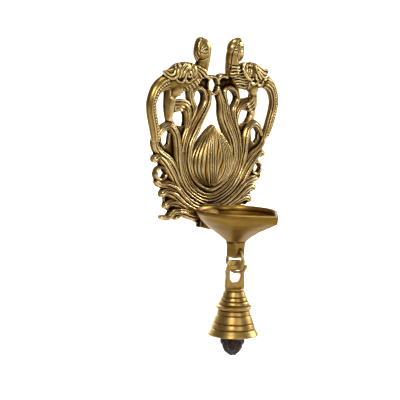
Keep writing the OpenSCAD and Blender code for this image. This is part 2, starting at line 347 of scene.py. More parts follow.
def grain(tree, scale, detail=4.0, rough=0.6):
    """Noise over the object's own coordinates."""
    where = tree.nodes.new("ShaderNodeTexCoord")
    made = node(tree, "ShaderNodeTexNoise", Scale=scale, Detail=detail, Roughness=rough)
    tree.links.new(where.outputs["Object"], made.inputs["Vector"])
    return made.outputs["Fac"]


def bump(tree, bsdf, layers):
    """Chains bumps from (height socket, strength, distance in metres)."""
    before = None
    for height, strength, distance in layers:
        made = node(tree, "ShaderNodeBump", Strength=strength, Distance=distance)
        tree.links.new(height, made.inputs["Height"])
        if before is not None:
            tree.links.new(before, made.inputs["Normal"])
        before = made.outputs[0]
    tree.links.new(before, bsdf.inputs["Normal"])


def antique_brass(name, ridge, face, groove, tarnish_and_shade=1.0):
    """Cast brass: dark in the grooves, rubbed bright on the ridges, with cloudy tarnish between; the cavity
    it reads also carries painted shade.
    """
    mat, tree, bsdf = shader(name)
    cavity = node(tree, "ShaderNodeAttribute", attribute_name="cavity").outputs["Fac"]
    cloud = grain(tree, 90, 5, 0.65)
    fine = grain(tree, 900, 3, 0.6)
    shift = scaled(tree, cloud, 0.3, 0.7, -0.05, 0.05)
    sum_node = node(tree, "ShaderNodeMath", operation="ADD")
    tree.links.new(cavity, sum_node.inputs[0])
    tree.links.new(shift, sum_node.inputs[1])
    # the last argument sets how fast the patina of the hollows and the painted shade in the cavity darken
    # the metal
    level = scaled(tree, sum_node.outputs[0], -0.32, 0.34 / tarnish_and_shade, 0, 1)
    colour = ramp(tree, level, [(0.0, ridge), (0.32, face), (0.56, [c * 0.62 for c in face]), (0.78, groove),
                                (1.0, [c * 0.45 for c in groove])])
    tint = ramp(tree, cloud, [(0.3, (0.86, 0.80, 0.72)), (0.6, (1, 1, 1)), (0.8, (1.04, 1.0, 0.92))])
    rough = ramp(tree, level, [(0.0, (0.24,) * 3), (0.4, (0.33,) * 3), (0.75, (0.6,) * 3),
                               (1.0, (0.8,) * 3)])
    paint(tree, bsdf, blend(tree, 1.0, colour, tint, "MULTIPLY"), rough)
    bump(tree, bsdf, [(fine, 0.25, 0.00012), (cloud, 0.2, 0.0003)])
    return mat


def satin_brass(name, light, dark, streak, rough):
    """Buffed brass with soft colour clouds, small scratches and a few darker spots."""
    mat, tree, bsdf = shader(name)
    cloud = grain(tree, 45, 5, 0.6)
    fine = grain(tree, 1400, 3, 0.7)
    where = tree.nodes.new("ShaderNodeTexCoord")
    stretch = node(tree, "ShaderNodeMapping")
    stretch.inputs["Scale"].default_value = streak
    tree.links.new(where.outputs["Object"], stretch.inputs["Vector"])
    lines = node(tree, "ShaderNodeTexNoise", Scale=1.0, Detail=5.0, Roughness=0.7)
    tree.links.new(stretch.outputs[0], lines.inputs["Vector"])
    cavity = node(tree, "ShaderNodeAttribute", attribute_name="cavity").outputs["Fac"]
    base = ramp(tree, cloud, [(0.28, dark), (0.5, light), (0.75, [min(1, c * 1.06) for c in light])])
    base = blend(tree, 0.35, base, ramp(tree, lines.outputs["Fac"],
                                        [(0.35, [c * 0.8 for c in dark]), (0.65, light)]))
    grime = ramp(tree, scaled(tree, cavity, 0.02, 0.3, 0, 1),
                 [(0, (1, 1, 1)), (0.5, (0.5, 0.38, 0.26)), (1, (0.2, 0.13, 0.08))])
    paint(tree, bsdf, blend(tree, 1.0, base, grime, "MULTIPLY"),
          scaled(tree, lines.outputs["Fac"], 0.3, 0.7, rough - 0.06, rough + 0.1))
    bump(tree, bsdf, [(lines.outputs["Fac"], 0.12, 0.0001), (fine, 0.15, 0.00005), (cloud, 0.2, 0.0004)])
    return mat


def dark_iron(name):
    """Rough black iron with a little rust and an oily glint."""
    mat, tree, bsdf = shader(name, 0.7)
    cloud = grain(tree, 160, 6, 0.7)
    fine = grain(tree, 1100, 4, 0.7)
    colour = ramp(tree, cloud, [(0.3, (0.012, 0.009, 0.008)), (0.52, (0.035, 0.024, 0.019)),
                                (0.68, (0.09, 0.05, 0.03)), (0.85, (0.16, 0.10, 0.07))])
    paint(tree, bsdf, colour, scaled(tree, fine, 0.3, 0.7, 0.28, 0.6))
    bump(tree, bsdf, [(cloud, 0.5, 0.0006), (fine, 0.4, 0.0002)])
    return mat


def zinc_steel(name):
    mat, tree, bsdf = shader(name)
    cloud = grain(tree, 300, 4, 0.6)
    colour = ramp(tree, cloud, [(0.3, (0.20, 0.20, 0.19)), (0.7, (0.34, 0.335, 0.31))])
    paint(tree, bsdf, colour, scaled(tree, cloud, 0.3, 0.7, 0.3, 0.5))
    bump(tree, bsdf, [(cloud, 0.2, 0.0001)])
    return mat


# ---------------------------------------------------------------- leaf plate
# Leaves of the left half: points [x, z] along the middle, then widths and heights spread from root
# to tip, then the number of ridges. Where the last entry is a point, the leaf runs on through it to the
# other half; where it is None, the other half has a leaf of its own.
LEAVES = [
    ([(-9, -62.8), (-16.2, -56), (-19.6, -46), (-18, -36), (-13, -27), (-8.2, -18), (-4.8, -8), (-3.9, -2)],
     (3.8, 6, 7.2, 7.4, 6, 3.2), (4.8, 5.4, 6, 6, 5.6, 5.2), 4, (0, -66.0)),
    ([(-12, -64.8), (-20, -56), (-23, -45), (-20.5, -33), (-14.3, -22), (-9.2, -12), (-8.6, -5), (-13, -2.2),
      (-17.4, -4.4), (-19.6, -9)],
     (2.8, 4.5, 4.8, 4.4, 3.6, 3), (4.2, 4.8, 5, 5, 5.4, 5.2), 2, (0, -69.2)),
    ([(-13, -66.6), (-22, -57), (-25.2, -46), (-23.2, -34), (-19.3, -24), (-16.8, -16), (-19.6, -9),
      (-19, 1)],
     (2.8, 4.5, 5.2, 4.6, 4.4, 4), (4.2, 4.6, 5, 5.2, 5.2, 5.4), 3, (0, -71)),
    ([(-23.6, -40), (-21.4, -29), (-20.4, -21), (-22.6, -15), (-28, -12.8), (-34.5, -12.6)],
     (3, 4.4, 5.4, 7.6), (3.8, 5, 5.6, 5.8), 4, None),
    ([(-35, 4), (-35.6, -4), (-36, -12), (-34.8, -20), (-31.6, -25.5), (-28, -32), (-26, -42)],
     (5.5, 4.6, 4, 3.5), (5.6, 5, 4.2, 3.6), 1, None),
    ([(-32.5, -23), (-28.8, -30.5), (-26.8, -38), (-25.6, -47)],
     (3.2, 4, 3.4), (4.2, 4.6, 4), 1, None),
    ([(-15, -67.5), (-24, -57.5), (-27.4, -47), (-28.6, -37), (-30.6, -29.5), (-34.8, -25.4), (-39.6, -26.6),
      (-42.6, -30.4), (-44.4, -34)],
     (3, 5, 6.4, 6.8, 6.6, 5.2, 3.2), (4.2, 4.8, 5.4, 6, 6.2, 5.6, 4.6), 3, (0, -73)),
    ([(-15, -69.5), (-24, -61.5), (-29.5, -52), (-35, -46), (-42, -41.2), (-45.4, -36.6), (-45.6, -31)],
     (3, 5, 6.2, 6.2, 5.2, 4.4), (4.2, 4.8, 5.2, 5.6, 5.4, 4.8), 3, (0, -75)),
    ([(-16, -71.6), (-26, -63.6), (-32.5, -54.5), (-38, -47.6), (-43, -43.9), (-47, -46.6)],
     (3, 5, 6.4, 6.4, 4.6), (4.2, 4.8, 5.6, 6.2, 5.2), 3, (0, -77)),
    ([(-3, -77.4), (-13, -75.4), (-22, -69.6), (-29, -63.6), (-35.6, -61), (-41, -60.4), (-44.2, -58)],
     (3, 5, 6.8, 7.4, 6.2, 2.8), (4.2, 4.8, 5.6, 6, 5.4, 4.6), 3, None),
    ([(-3, -79.4), (-12, -77.8), (-22, -73.0), (-30, -67.2), (-36, -65.6), (-40.2, -68.2)],
     (3, 5.6, 7.4, 7.6, 4.4), (4.2, 4.6, 5.6, 6, 4.8), 3, None),
    ([(-8, -79.6), (-18, -77.0), (-26, -73.2), (-32, -72.2), (-37, -75.4)],
     (3, 5.6, 6.4, 4.4), (4.2, 4.8, 5.4, 4.6), 3, None),
    ([(-4, -82.5), (-14, -81.4), (-22, -79), (-29, -78.4), (-34, -81.6), (-40, -80.6)],
     (4, 6.6, 6, 5, 4.2, 2.8), (4.2, 4.6, 5.4, 5.8, 5, 4), 3, None),
    ([(-19, -79.4), (-24, -80.4), (-28.4, -83.2)],
     (4, 4, 3), (4, 4.8, 4.6), 1, None),
]
# Middle, radius and width of the small scroll at the edge
SCROLL = ((-40.5, -54), 3.9, 2.5)
# Arm from the eye to a bird's breast, for the right half
SHOULDER = ((3.4, 2.0), (5.4, 4.2), (8.4, 4.9), (12.5, 4.0))
# Solid ground between the roots of the leaves, for the left half, down to the foot
GROUND = [(-17, -44), (-21, -37), (-24, -33), (-27.5, -40), (-31, -43.5), (-40, -46.5), (-37, -51),
          (-36, -57), (-39, -60), (-37.5, -66), (-36.5, -72), (-34, -77), (-25, -80.6), (-16, -83.5),
          (-9, -86.6), (-4, -90), (0, -90.4)]
# Lower metal that closes the plate between the leaves, for the left half
FILLS = [
    [(-16.5, 4.4), (-11, 4.2), (-4.6, 4.4), (-4.6, -3), (-5, -9.5), (-8.2, -9.5), (-8, -4), (-12.5, -1.5),
     (-17, -1.5)],
    [(-34.5, -8.5), (-26, -9.2), (-21, -11.5), (-20.5, -17), (-26, -16.4), (-30, -17.2), (-34.5, -18.5)],
    [(-20.5, -25), (-24.5, -25.6), (-28, -25), (-31, -24), (-30.5, -32), (-28, -42), (-24, -46), (-20, -36)],
    [(-46, -29), (-41.2, -29), (-40.6, -35), (-38, -38.2), (-35.4, -36), (-34.6, -30), (-29, -29),
     (-27, -46), (-37, -47), (-45, -41)],
]
# Height of the screw, and the radius and depth of the sink for its head
SCREW_Z, SCREW_SINK_R, SCREW_SINK = -85.0, 4.0, 2.2
EYE_R, EYE_SPARE = 2.8, 0.12
# Pad that the bowl's seat meets, and the thickness of the ground, the fills and the pad
PAD = [(-7.8, -89.5), (7.8, -89.5), (7.8, -75), (-7.8, -75)]
WEB_T, FILL_T, PAD_T = 2.2, 3.2, 4.8


def ridge_profile(u, ridges, wobble):
    """Across a leaf: the height share of its low dome, and the depth share of the grooves cut in it."""
    dome = 1 - 0.42 * np.abs(u) ** 2.4
    cut = np.zeros_like(u)
    for k in range(1, ridges):
        at = -1 + 2 * k / ridges + wobble * (1 if k % 2 else -0.7)
        cut += np.exp(-((u - at) / (0.26 / ridges + 0.02)) ** 2)
    return dome, cut


def leaf(bag, points, widths, heights, ridges, seed=0.0):
    """Sweeps a ridged leaf along [x, z] points, with its flat back on the wall."""
    path, at = even(spline(points, 8), 0.45)
    count = len(path)
    w = spread(widths, count)
    h = spread(heights, count)
    ends = round_ends(at, w / 2)
    w = w * ends
    h = h * (0.55 + 0.45 * ends)
    tangent = directions(path)
    across = np.column_stack([-tangent[:, 1], tangent[:, 0]])
    u = np.linspace(-1, 1, 10 * max(ridges, 2) + 1)
    rings = []
    for i in range(count):
        dome, cut = ridge_profile(u, ridges, 0.07 / ridges * math.sin(at[i] * 0.5 + seed))
        depth = min(1.25, 0.28 * w[i]) * (0.85 + 0.15 * math.sin(at[i] * 0.9 + seed * 2))
        top = h[i] * dome - depth * cut
        xz = path[i] + np.outer(u * w[i] / 2, across[i])
        front = np.column_stack([xz[:, 0], -top, xz[:, 1]])
        back = np.column_stack([xz[::-1, 0], np.zeros(len(u)), xz[::-1, 1]])
        rings.append(np.concatenate([front, back]))
    loft(bag, rings)


def slab(bag, outline, y0, y1):
    """A flat plate with an [x, z] outline between two depths."""
    outline = np.asarray(outline, float)
    n = len(outline)
    one = np.column_stack([outline[:, 0], np.full(n, -y0), outline[:, 1]])
    two = np.column_stack([outline[:, 0], np.full(n, -y1), outline[:, 1]])
    loft(bag, [one, two])


def mirrored(points):
    return [(-p[0], p[1]) for p in points]


def make_fan():
    bag = Bag()
    for number, (points, widths, heights, ridges, middle) in enumerate(LEAVES):
        seed = number * 1.7
        if middle:
            whole = mirrored(points)[::-1] + [middle] + points
            leaf(bag, whole, widths[::-1] + widths, heights[::-1] + heights, ridges, seed=seed)
        else:
            leaf(bag, points, widths, heights, ridges, seed=seed)
            leaf(bag, mirrored(points), widths, heights, ridges, seed=seed + 1)
    turn = np.linspace(0, 2 * math.pi, 26)
    for side in (-1, 1):
        (x, z), radius, width = SCROLL
        ring = [(side * (-x) + radius * math.cos(a), z + radius * math.sin(a)) for a in turn]
        leaf(bag, ring, (width,) * 3, (4.6,) * 3, 1)
        shoulder = [(side * x, z) for x, z in SHOULDER]
        leaf(bag, shoulder, (2.6, 3.4, 4.2), (5, 5.4, 5.8), 1)
        for outline in FILLS:
            slab(bag, [(side * -x, z) for x, z in outline][::side], 0.0, FILL_T)
        for line in LEFT_FOOT if side < 0 else RIGHT_FOOT:
            tube(bag, [(side * x, -5.5, z) for x, z in line], (0.6, 1.0, 1.0, 0.6), 10, 0.5)
    eye = [((EYE_R + 1.7) * math.cos(a), -0.8 + (EYE_R + 2.6) * math.sin(a)) for a in turn]
    leaf(bag, eye, (2.5,) * 3, (4.6,) * 3, 1)
    slab(bag, GROUND + mirrored(GROUND[:-1])[::-1], 0.0, WEB_T)
    slab(bag, PAD, 0.0, PAD_T)
    fused = remeshed(bag, 0.30, 1, "leaf_fan")
    open_eye(fused)
    lean_in(fused)
    drill(fused, (0, 0, SCREW_Z), SCREW_SINK_R, 2 * SCREW_SINK)
    # painted shade over the patina of the hollows: side walls darken by 0.16, low metal near the wall by
    # 0.14
    store_cavity(fused, 0.16, 0.14)
    return fused


def open_eye(mesh):
    """Keeps the hanging eye round and clear."""
    co = points_of(mesh)
    r = np.hypot(co[:, 0], co[:, 2])
    clear = EYE_R + EYE_SPARE
    inside = r < clear
    push = clear / np.maximum(r, 1e-6)
    co[inside, 0] *= push[inside]
    co[inside, 2] *= push[inside]
    put_points(mesh, co)


def lean_in(mesh):
    """Hand-cast unevenness: the leaves beside the hanging eye stand a little to the right."""
    co = points_of(mesh)
    near = np.exp(-((co[:, 2] + 11) / 8) ** 2) * (1 - np.exp(-(np.hypot(co[:, 0], co[:, 2]) / 7) ** 2))
    co[:, 0] += 2.4 * near * np.clip((30 - np.abs(co[:, 0])) / 12, 0, 1)
    put_points(mesh, co)


# ---------------------------------------------------------------- lotus bud
BUD_W, BUD_H, BUD_T = 36.4, 38.6, 6.6
BUD_TOP = -25.0
BUD_BASE = 3.0


def make_bud():
    rows, cols = 170, 241
    flutes = 15
    t = np.linspace(0, 1, rows)
    half = np.maximum(BUD_W / 2 * np.sin(np.pi * t ** 0.72) ** 0.8, 0.05)
    u = np.linspace(-1, 1, cols)
    bag = Bag()
    rings = []
    for i in range(rows):
        sway = 0.05 * np.sin(np.pi * u * 2.3 + 5 * t[i]) + 0.03 * np.sin(9 * u + 3 * t[i])
        turn = 0.72 * u + 0.28 * np.arcsin(u) * 2 / np.pi + sway * (1 - u * u)
        wave = np.abs(np.cos(0.5 * np.pi * flutes * turn))
        rise = BUD_T * np.sin(np.pi * (0.03 + 0.90 * t[i]) ** 0.8) ** 0.5
        depth = 1.3 * min(1, (half[i] / 9) ** 1.1)
        top = np.maximum(rise, 2.2) * (1 - 0.90 * np.abs(u) ** 2.4) ** 0.5 - depth * (1 - wave ** 0.6)
        edge = np.clip((1 - np.abs(u)) * half[i] / 0.7, 0, 1) ** 0.5
        y = BUD_BASE + top * (0.6 + 0.4 * edge)
        z = BUD_TOP - BUD_H + BUD_H * t[i]
        front = np.column_stack([u * half[i], -y, np.full(cols, z)])
        back = np.column_stack([u[::-1] * half[i], np.full(cols, -1.5), np.full(cols, z)])
        rings.append(np.concatenate([front, back]))
    loft(bag, rings)
    fused = remeshed(bag, 0.25, 1, "lotus_bud")
    # painted shade over the patina of the hollows: side walls darken by 0.22, low metal near the wall by
    # 0.05
    store_cavity(fused, 0.22, 0.05)
    return fused


# ---------------------------------------------------------------- birds
# The right bird; the left one is mirrored. Points are [x, y, z], radii go along with them.
TAIL = [(39, -5.6, 2.4), (45, -5.4, 0.2), (49.2, -5.2, -3.8), (51.7, -5, -10.5), (51.2, -4.8, -17),
        (49.2, -4.6, -24), (47.4, -4.2, -30), (46, -3.5, -35.5)]
TAIL_R = (5.0, 4.3, 3.6, 3.25, 3.2, 3.2, 3.1, 2.4)
# Raised lines as [x, z] points on the front skin, for the bird on the left and the one on the right:
# start width, middle width, lift, then the lines.
LEFT_LINES = [
    (0.8, 1.15, 0.15, [
        [(45.6, 9.2), (44.2, 7.0), (42, 4.8), (39, 4), (36.7, 5), (35.9, 7.2), (35.1, 9.7), (33.3, 12.1),
         (31.2, 13.4)],
        [(28.9, 12.9), (31.5, 11.2), (33.4, 9), (34.2, 6.4), (34.6, 3.9)]]),
    (0.6, 0.92, 0.1, [
        [(43.8, 9.2), (42.6, 7.6), (40.3, 6), (38.2, 6.8), (37.3, 8.6), (36.1, 10.8), (34, 12.6)],
        [(28.3, 10.8), (30.5, 9), (31.7, 6.8), (32.4, 4.4)],
        [(36.1, 3.2), (33.8, 1.8), (31.4, 2.1), (30.3, 4.2), (30.1, 6.2), (28.9, 8.3)],
        [(29.9, 4), (28.7, 2), (26.2, 2), (24.4, 3.8), (24.8, 5.3)],
        [(29.4, 6.4), (27.8, 7.8), (26, 7), (25.9, 5.6), (27.2, 5), (28.4, 5.8), (27.6, 6.5)],
        [(25.2, 3.6), (23.2, 3.4), (21.4, 5), (20.4, 8), (20.6, 11), (22.6, 13)]]),
    (0.5, 0.8, 0.25, [
        [(18.9, 12.3), (16.4, 10.4), (13.5, 8.2), (10.2, 6)],
        [(18.9, 10), (16.3, 8.2), (13.7, 6), (10.6, 3.9)],
        [(18.8, 8), (17, 6.1), (14.4, 3.9), (12.4, 2.2)]]),
    (0.5, 0.7, 0.05, [
        [(17.4, 28.2), (18.6, 25.8), (19.2, 23.4), (19.4, 20.4), (18.9, 17.4)]])]
LEFT_CUTS = [
    [(19.4, 20.8), (18.2, 19.6), (15.4, 19.3), (13, 19.8)],
    [(19.2, 15.8), (17.6, 15.0), (15, 15.4), (12.6, 17.2)],
    [(18.4, 22.0), (17.6, 23.7), (15.9, 25.2)],
    [(17.6, 21.6), (16.4, 22.9), (14.2, 23.6)],
    [(16.9, 20.7), (15.7, 21.6), (13.9, 21.9)],
    [(20.2, 19.4), (19.6, 18), (18.4, 16.9)],
    [(20.6, 18), (19.9, 16.9), (18.9, 16)]]
RIGHT_LINES = [
    (0.7, 1.05, 0.15, [
        [(25.3, 13.5), (21.6, 12.6), (19.6, 9.7), (20.6, 5.8), (23.9, 3.2), (28, 3.3)],
        [(26.5, 11.9), (23, 11.5), (21.4, 8.9), (22.5, 6.2), (25.2, 4.8)],
        [(25.3, 2.9), (26.2, 1), (28.8, 0.2), (31.2, 1.4), (31, 3.5)],
        [(31.5, 1.5), (33.6, -0.6), (36.7, 0), (37.8, 2.3)]]),
    (0.6, 0.85, 0.15, [
        [(28.2, 11.7), (29.6, 8.5), (31.9, 5.7), (34.2, 4), (36, 2.9)],
        [(29.4, 10.9), (33.1, 8.5), (36.6, 7), (40.1, 6.4), (43.8, 7.6)],
        [(29.2, 12.6), (33.6, 10.7), (37.8, 9.2), (43.4, 8.8)],
        [(30.9, 8.1), (34.1, 6.1), (37, 4.6), (40.2, 4.2), (42.8, 5.6)],
        [(28.6, 6.9), (29.6, 4.2), (30.6, 2.4)],
        [(37.8, 3.3), (39.6, 2.6), (41.4, 3.6)]]),
    (0.4, 0.6, 0.25, [
        [(6.6, 10.9), (8.8, 10.4), (11.5, 10.9), (14.2, 10.3), (17, 10.9), (18.8, 10.7)],
        [(7, 9.1), (9.4, 8.5), (12.1, 9.1), (14.9, 8.5), (18.2, 9)],
        [(8, 7.3), (10.6, 6.5), (13.3, 7.3), (16.1, 6.6), (19.4, 7.1)],
        [(9, 5.4), (12.3, 4.9), (15, 5.7), (17.8, 4.9), (20.2, 5.3)],
        [(10.2, 3.4), (12.9, 3.3), (15.6, 4.1), (19, 3.2), (22.6, 3.2)],
        [(10.8, 1.6), (14.1, 1.5), (16.8, 2.3), (20.2, 1.5), (23.6, 1.8)],
        [(12.6, -0.2), (15.3, -0.1), (18.6, 0.6), (21.9, -0.1), (24.2, 0.4)],
        [(15, -1.8), (18, -1.3), (21, -1.9), (24, -1.4)],
        [(24.6, 1.5), (25, -1.2), (25.6, -3.4), (28.6, -6)]])]
RIGHT_CUTS = [
    [(7.6, 12.7), (10.2, 11.9), (14, 11.9), (16.6, 12.7)],
    [(9.2, 9), (9, 13.4), (8.8, 17.3), (9.3, 21), (10.8, 24.2), (13.2, 26.4), (16, 27.2)],
    [(12.4, 20.8), (12.3, 18.2), (13.3, 16), (15.2, 14.6)],
    [(13.9, 22.7), (14.9, 23.5), (16.4, 23.4), (17.1, 22.4), (16.2, 21.4), (14.8, 21.5), (13.9, 22.7)],
    [(9.6, 23), (10.6, 22.6), (12.1, 23.2)],
    [(9.8, 21.2), (10.6, 20.9), (11.8, 21.1)]]
# Wrinkles of the grasping foot and cuffs of the leg
LEFT_FOOT = [[(33.4, -9.4), (28.8, -9.4), (24.8, -10.6), (21.6, -12.9)],
             [(33.2, -11.4), (28.7, -11.4), (24.9, -12.6), (22, -15)],
             [(33.4, -13.4), (28.7, -13.3), (25.6, -14.4)], [(33.4, -15.2), (29.6, -15), (26.6, -16.2)]]
RIGHT_FOOT = [[(27.6, -13.9), (29.8, -11.7), (33, -9.4)], [(28.6, -15.6), (31, -13.4), (34.6, -11)],
              [(29.9, -17.2), (32.2, -15.2), (35.4, -12.8)], [(31.4, -18.6), (33.4, -16.9), (36, -14.9)]]


def front_finder(mesh):
    """Returns a function that gives the skin's front depth at (x, z), or a fallback where it has none."""
    grown = bmesh.new()
    grown.from_mesh(mesh)
    tree = BVHTree.FromBMesh(grown)

    def depth(x, z, fallback=None):
        hit = tree.ray_cast(Vector((x, -60, z)), Vector((0, 1, 0)))
        return hit[0].y if hit[0] is not None else fallback

    return depth


def laid(bag, depth, points, radii, lift):
    """A raised line on the front skin, through [x, z] points; it stops where the skin ends."""
    step = 0.4
    path = even(spline(points, 6), step)[0]
    y = [depth(x, z) for x, z in path]
    keep = [k for k, v in enumerate(y) if v is not None]
    if len(keep) < 4:
        return
    path = path[keep]
    y = np.array([y[k] for k in keep])
    y = np.convolve(np.pad(y, 2, mode="edge"), np.ones(5) / 5, mode="valid")
    tube(bag, np.column_stack([path[:, 0], y - lift, path[:, 1]]), radii, 10, step, 0)


def bird_form():
    """The bird's plain body: rump, belly, breast, neck, head with a tucked beak, and legs."""
    bag = Bag()
    tube(bag, [(45, -5.6, 1.5), (39, -5.7, 3), (32, -5.8, 4.8), (25, -5.8, 5.1), (18, -5.8, 5.6),
               (13, -5.8, 7)],
         (4.4, 6.2, 8.6, 9.2, 8.0, 5.0), 32, 0.7, 6, 0.56)
    tube(bag, [(16.5, -5.6, 5), (13.6, -5.8, 9), (12.4, -6.6, 14), (12.6, -7.2, 19), (13.6, -7.6, 22)],
         (6.0, 5.0, 4.5, 4.8, 5.2), 24, 0.7, 6, 0.98)
    ball(bag, (13.9, -7.7, 21.6), (6.5, 4.9, 7.0), 20, 28)
    ball(bag, (15.7, -7.8, 24.6), (4.2, 3.6, 4.7), 16, 24)
    tube(bag, [(15.6, -7.8, 22), (17.6, -7.8, 20), (18.6, -7.8, 17.4), (18.3, -7.8, 15.2), (17.6, -7.6, 14)],
         (3.9, 3.6, 2.7, 1.6, 0.8), 20, 0.5, 6, 1.0)
    # thigh, leg and stem
    tube(bag, [(30, -5.6, 1), (32.2, -5.6, -3.2), (34.4, -5, -7.6)], (5.6, 4.2, 2.6), 18, 0.6, 6, 0.85)
    tube(bag, [(34.2, -4.4, -6), (35, -3.9, -12), (34.8, -3.4, -18), (35.4, -3.0, -23)],
         (2.7, 2.6, 2.2, 1.4), 16, 0.6)
    # folded wing over the flank
    tube(bag, [(22.2, -8.6, 8.3), (29, -8.8, 8.0), (36.5, -8.3, 6.8), (41, -7.2, 6.9), (45, -6.2, 8.4)],
         (4.6, 5.9, 4.6, 2.9, 1.2), 26, 0.6, 6, 0.5)
    tube(bag, TAIL, TAIL_R, 30, 0.7, 6, 0.98)
    return remeshed(bag, 0.45, 5, "bird_form")


def bird_details(depth, side):
    """Feathers, collar, eye and bead rows, raised from the plain body."""
    bag = Bag()
    for low, high, lift, lines in (LEFT_LINES if side < 0 else RIGHT_LINES):
        for points in lines:
            laid(bag, depth, points, (low, high, high, low), lift)
    if side < 0:
        # smooth shoulder lobe and rough scales on the belly
        ball(bag, (22.9, depth(22.9, 8, -11) + 0.9, 8.2), (3.0, 2.5, 4.5), 14, 20)
        for row in range(4):
            for k in range(7):
                x = 27.6 - 2.1 * k + 0.9 * row
                z = -1.2 + 0.95 * k - 1.75 * row + 0.3 * math.sin(5.0 * k + row)
                y = depth(x, z)
                if y is not None and x > 11.5:
                    ball(bag, (x, y, z), (0.85, 0.6, 0.65), 8, 10)
        ex, ez = 15.4, 22.6
    else:
        ball(bag, (24.4, depth(24.4, 7.3, -11) + 0.6, 7.6), (2.3, 1.7, 2.4), 14, 20)
        ex, ez = 15.5, 22.45
    ball(bag, (ex, depth(ex, ez, -12) + 0.15, ez), (0.62, 0.5, 0.5), 10, 12)
    # tail: smooth outer band, two rails and a row of beads between them
    rail = even(spline(TAIL, 8), 0.5)[0]
    r = spread(TAIL_R, len(rail))
    outward = np.cross(directions(rail), [0, 1, 0])
    outward /= np.linalg.norm(outward, axis=1)[:, None]

    def around(angle, lift=0.0):
        way = math.cos(angle) * np.array([0, -0.98, 0]) + math.sin(angle) * outward
        return rail + way * (r[:, None] + lift)

    for angle, thick in ((0.34, 0.5), (-0.46, 0.5), (-0.95, 0.4)):
        tube(bag, around(angle)[4:-2], (thick,) * 3, 10, 0.5, 0)
    for p in even(around(-0.06, 0.05), 1.7)[0][2:-1]:
        ball(bag, p, (0.72, 0.62, 0.72), 8, 10)
    return bag


def make_bird(side):
    form = bird_form()
    bag = bird_details(front_finder(form), side)
    bag.add(points_of(form), [tuple(p.vertices) for p in form.polygons])
    fused = remeshed(bag, 0.25, 2, "bird")
    engrave(fused, LEFT_CUTS if side < 0 else RIGHT_CUTS, 0.30, 0.42)
    co = points_of(fused)
    co[:, 1] = np.minimum(co[:, 1], -0.02)
    if side < 0:
        co[:, 0] *= -1
    put_points(fused, co)
    if side < 0:
        fused.flip_normals()
    fused.update()
    # painted shade over the patina of the hollows: side walls darken by 0.22
    store_cavity(fused, 0.22)
    return fused


# ---------------------------------------------------------------- bowl
BOWL_Y, BOWL_R, SPOUT = -28.5, 25.0, 36.5
RIM_Z, BOWL_H, BOWL_WALL = -76.0, 19.0, 2.6
SECTIONS = [(0, 1, 1), (0.16, 0.995, 1), (0.19, 0.965, 0.97), (0.34, 0.89, 0.85), (0.54, 0.73, 0.66),
            (0.72, 0.55, 0.47), (0.87, 0.39, 0.31), (1, 0.27, 0.19)]
LUG_W, LUG_D, LUG_LOW, LUG_HOLE_Z, LUG_HOLE_R = 8.4, 8.0, -105.6, -101.2, 2.2
# Points round an outline of the bowl, height of the band under its rim, and depth of its floor's edge
OUTLINE, BAND, FLOOR_D = 160, 3.1, 13.6
# Over the lip and down inside, [distance in from the outside, depth below the rim]
LIP = ((0.35, 0.0), (0.9, -0.12), (1.5, -0.05), (1.9, 0.4), (2.2, 1.2))
# Levels of the lug, [z, share of its width], and of the seat, [z, how far it stands off the wall]
LUG_LEVELS = ((LUG_LOW, 0.70), (LUG_LOW + 1.0, 1.0), (-102, 1.0), (-99, 1.02), (-96.5, 1.06), (-95, 1.12),
              (-93.5, 1.22))
SEAT_LEVELS = ((-89.8, 14.5), (-86, 12.5), (-82, 8.8), (-78.2, 6.2))
SEAT_HALF, SEAT_Y = 6.5, -5.05


def bowl_outline(radius, spout, blunt=0.0):
    """A circle drawn out to a point towards the front; blunt rounds the point off."""
    tip = max(spout, radius + 0.01)
    reach = math.acos(min(1, radius / tip))
    out = []
    for a in np.linspace(0, 2 * math.pi, OUTLINE, endpoint=False):
        away = abs((a - math.pi * 1.5 + math.pi) % (2 * math.pi) - math.pi)
        if away < reach:
            r = radius / math.cos(reach - away) if reach - away < 1.5 else tip
            nose = 1 - (0.012 + 0.10 * blunt) * math.exp(-(away / (0.08 + 0.25 * blunt)) ** 2)
            r *= nose
        else:
            r = radius
        out.append((r * math.cos(a), r * math.sin(a)))
    return np.array(out)


def section_at(depth):
    """Radius and spout length at a depth below the rim."""
    d = np.clip(depth / BOWL_H, 0, 1)
    places = [s[0] for s in SECTIONS]
    return (BOWL_R * np.interp(d, places, [s[1] for s in SECTIONS]),
            SPOUT * np.interp(d, places, [s[2] for s in SECTIONS]))


